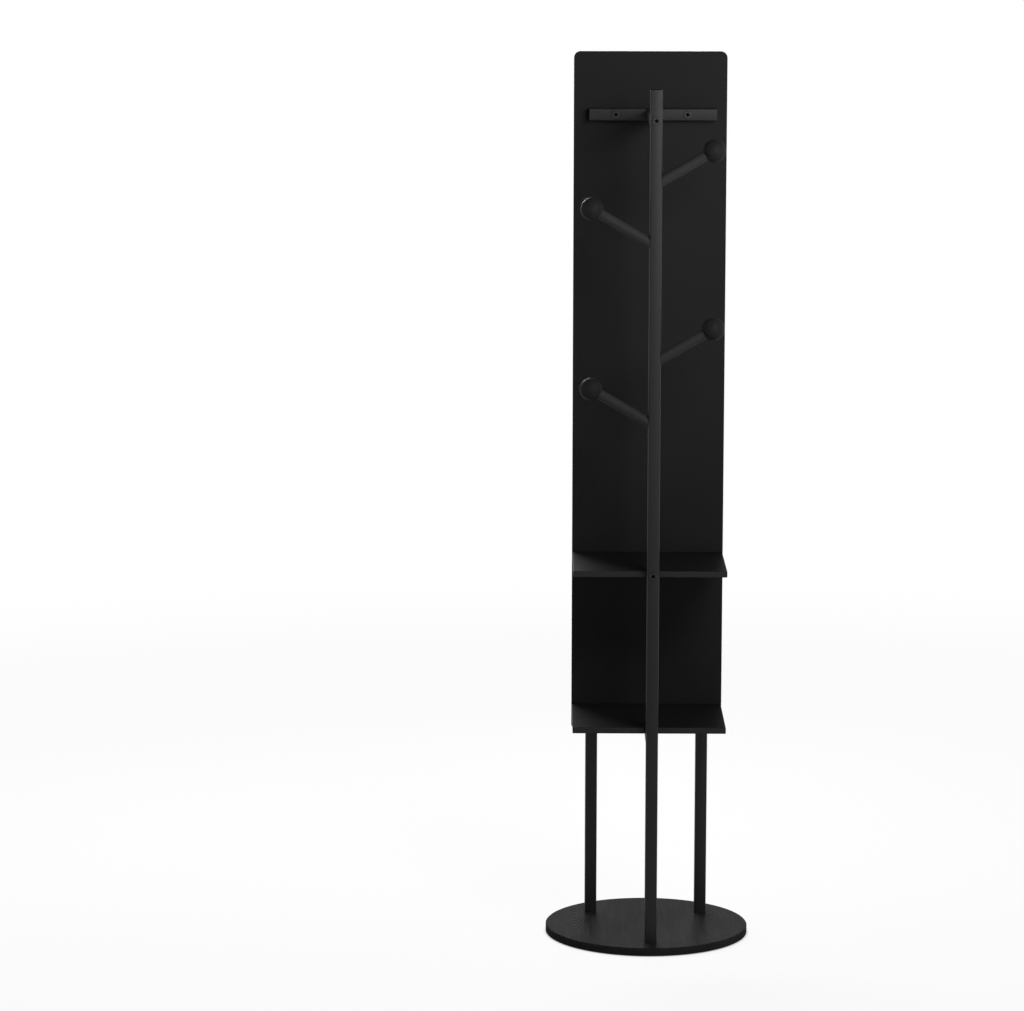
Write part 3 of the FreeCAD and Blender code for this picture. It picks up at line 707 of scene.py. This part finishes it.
def flat_bolt(length):
    """A flat-headed bolt that points up, its head's seat at the origin.

    The dish and the hexagon socket in its head take the second finish, a painted shade that keeps
    them near black.
    """
    top = -BOLT_HEAD_HEIGHT
    eased = arc((BOLT_HEAD - BOLT_HEAD_EASE, BOLT_HEAD_EASE), BOLT_HEAD_EASE, -90, 0, 4)
    bolt = rings([
        (0, top + KEY_DEPTH + KEY_POINT), (KEY, top + KEY_DEPTH, 6), (KEY, top + DISH_DEPTH, 6),
        (DISH, top), *[(radius, top + height) for radius, height in eased],
        (BOLT_HEAD, 0), (BOLT_SHANK, 0), (BOLT_SHANK, length - BOLT_POINT),
        (BOLT_SHANK - BOLT_POINT, length), (0, length),
    ])
    for face in bolt.faces:
        middle = face.calc_center_median()
        face.material_index = 1 if middle.z < 0 and middle.xy.length < DISH else 0
    return bolt


def half_way(node):
    """The height of a CAD piece's middle, in millimetres."""
    low, high = room(node)
    return (low.z + high.z) / 2


crossbar_level = half_way("crossbar")
bolt_spots = {
    "post_bolts": [(TALL_POST_X, half_way("upper_shelf")), (TALL_POST_X, crossbar_level)],
    "crossbar_bolts": [(x, crossbar_level) for x in CROSSBAR_BOLTS],
}
for node, spots in bolt_spots.items():
    low, high = room(node)
    for number, (x, z) in enumerate(spots, 1):
        spot = Matrix.Translation((x, low.y + BOLT_HEAD_HEIGHT, z)) @ TO_MIRROR
        mesh = flat_bolt(high.y - low.y - BOLT_HEAD_HEIGHT)
        bolt = make(f"{node[:-1]}_{number}", mesh, black_steel, at=spot)
        bolt.data.materials.append(bolt_socket)
        if number == 1:
            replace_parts(bolt, node)

# ---------------------------------------------------------------- shelf brackets
# Two small angles bent from steel strip and blackened. Pan-head screws fix one leg of each up
# under the upper shelf and the other to the back of the lower panel.

BRACKET_STEEL = 1.5
BRACKET_SCREW_IN = 9

for side in ("left", "right"):
    bracket = f"shelf_bracket_{side}"
    dress(bracket, black_steel)
    low, high = room(bracket)
    middle = (low.x + high.x) / 2
    up = Matrix.Translation((middle, low.y + BRACKET_SCREW_IN, high.z - BRACKET_STEEL))
    on = Matrix.Translation((middle, high.y - BRACKET_STEEL, low.z + BRACKET_SCREW_IN)) @ TO_MIRROR
    make(f"{bracket}_screw_1", pan_screw(), black_steel, at=up)
    make(f"{bracket}_screw_2", pan_screw(), black_steel, at=on)

# ---------------------------------------------------------------- screws of the lower shelf
# Black pan-head wood screws, driven up through the rails into the underside of the shelf.
# Two are in the cross rail and two in the long rail.

SHELF_SCREW_REACH = 8
CROSS_RAIL_SHARES = (0.2, 0.8)
LONG_RAIL_SHARES = (0.2, 0.75)

cross_low, cross_high = room("lower_cross_rail")
long_low, long_high = room("lower_rail")
cross_middle = (cross_low + cross_high) / 2
long_middle = (long_low + long_high) / 2
shelf_screws = [
    (cross_low.x + (cross_high.x - cross_low.x) * share, cross_middle.y)
    for share in CROSS_RAIL_SHARES
] + [
    (long_middle.x, long_low.y + (long_high.y - long_low.y) * share)
    for share in LONG_RAIL_SHARES
]
for number, (x, y) in enumerate(shelf_screws, 1):
    up = Matrix.Translation((x, y, long_low.z))
    screw = pan_screw(long_high.z - long_low.z + SHELF_SCREW_REACH)
    make(f"shelf_screw_{number}", screw, black_steel, at=up)

# ---------------------------------------------------------------- floor
# A plain pale floor, painted matt, that stays behind when the stand turns. To the eye and in
# polish it is close to white, and it keeps the stand's shadow round the base.

FLOOR_REACH = 9
FLOOR_PAINT = (0.86, 0.86, 0.86)
UNDER_BASE = (0.194, 0.206)
SHADOW_REACH = (1.2, 4.5)
WHITE_NEAR = 0.9


def in_polish(finish):
    """1 for what polish and glass show, 0 for light that spreads."""
    path = finish.add("ShaderNodeLightPath")
    return path.out("Is Glossy Ray").maths("MAXIMUM", path.out("Is Transmission Ray"))


def to_eye(finish):
    """1 for what the camera sees straight on, 0 for all other light."""
    return finish.add("ShaderNodeLightPath").out("Is Camera Ray")


floor_mesh = bmesh.new()
bmesh.ops.create_circle(floor_mesh, cap_ends=True, segments=96, radius=FLOOR_REACH)
floor_data = bpy.data.meshes.new("floor")
floor_mesh.to_mesh(floor_data)
floor_mesh.free()
floor = bpy.data.objects.new("floor", floor_data)
bpy.context.scene.collection.objects.link(floor)
pale = Finish("pale_floor")
pale_paint = pale.add("ShaderNodeBsdfDiffuse", {}, {"Color": FLOOR_PAINT})
pale_white = pale.add("ShaderNodeEmission", {}, {"Color": (1, 1, 1), "Strength": 1})
from_axis = pale.add("ShaderNodeVectorMath", {"operation": "LENGTH"}, {
    0: pale.place(),
}).out("Value")
white_share = pale.step(from_axis, *UNDER_BASE) * (
    WHITE_NEAR + (1 - WHITE_NEAR) * pale.step(from_axis, *SHADOW_REACH)
)
pale_seen = pale.add("ShaderNodeMixShader", {}, {
    0: to_eye(pale).maths("MAXIMUM", in_polish(pale)) * white_share, 1: pale_paint, 2: pale_white,
})
pale.feed(pale.tree.nodes["Material Output"], {"Surface": pale_seen})
floor_data.materials.append(pale.material)

# ---------------------------------------------------------------- studio light
# An even white room and five soft boxes, at a level where colours keep their own tone. The key
# box has a grid that narrows its light, and the rear box rakes across the round base.

ROOM_LIGHT = 0.2
CEILING_DIM = 0.8
CEILING_FROM = (0.1, 0.6)
AIM = Vector((0, 0, 1.4))
# name: place, width and height, watts, spread in degrees
LAMPS = {
    "key": ((0.62, -1.3, 1.9), (0.8, 0.55), 10.6, 105),
    "fill": ((1.35, -3.5, 0.9), (1.6, 1.2), 24, 180),
    "rear": ((-0.5, 2.2, 2.1), (1.8, 0.3), 74, 180),
    "left": ((-2.4, 0.3, 1.4), (0.7, 1.6), 16, 180),
    "right": ((2.4, 0.3, 1.4), (0.7, 1.6), 16, 180),
}


class Room(Finish):
    """The light that comes from all round."""

    def __init__(self, name):
        world = bpy.data.worlds.new(name)
        world.use_nodes = True
        bpy.context.scene.world = world
        self.tree = world.node_tree


studio = Room("studio")
heading = studio.add("ShaderNodeTexCoord").out("Generated")
overhead = studio.add("ShaderNodeSeparateXYZ", {}, {"Vector": heading}).out("Z")
dim = 1 - CEILING_DIM * studio.step(overhead, *CEILING_FROM)
walls = (ROOM_LIGHT + (1 - ROOM_LIGHT) * in_polish(studio)) * dim
eye = to_eye(studio)
studio.feed(studio.tree.nodes["Background"], {
    "Color": (1, 1, 1), "Strength": eye + (1 - eye) * walls,
})

for name, (place, (width, height), watts, spread) in LAMPS.items():
    light = bpy.data.lights.new(name, "AREA")
    light.shape = "RECTANGLE"
    light.size = width
    light.size_y = height
    light.energy = watts
    light.spread = math.radians(spread)
    lamp = bpy.data.objects.new(name, light)
    lamp.location = place
    lamp.rotation_mode = "QUATERNION"
    lamp.rotation_quaternion = (AIM - Vector(place)).to_track_quat("-Z", "Y")
    bpy.context.scene.collection.objects.link(lamp)

# ---------------------------------------------------------------- camera
# A long lens a little above the mirror's top, on the coat side. It looks slightly down, and
# the stand is in the right half of the view.

EYE = Vector((-0.19906, -7.66621, 2.00941))
LOOK = Vector((-0.008977, 0.988826, -0.148807))
TILT = 0.1113
LENS = 138.925

camera_data = bpy.data.cameras.new("camera")
camera_data.lens = LENS
camera = bpy.data.objects.new("camera", camera_data)
camera.location = EYE
camera.rotation_mode = "QUATERNION"
tilt = Quaternion((0, 0, 1), math.radians(TILT))
camera.rotation_quaternion = LOOK.to_track_quat("-Z", "Y") @ tilt
bpy.context.scene.collection.objects.link(camera)
bpy.context.scene.camera = camera
bpy.context.scene.view_settings.view_transform = "Standard"
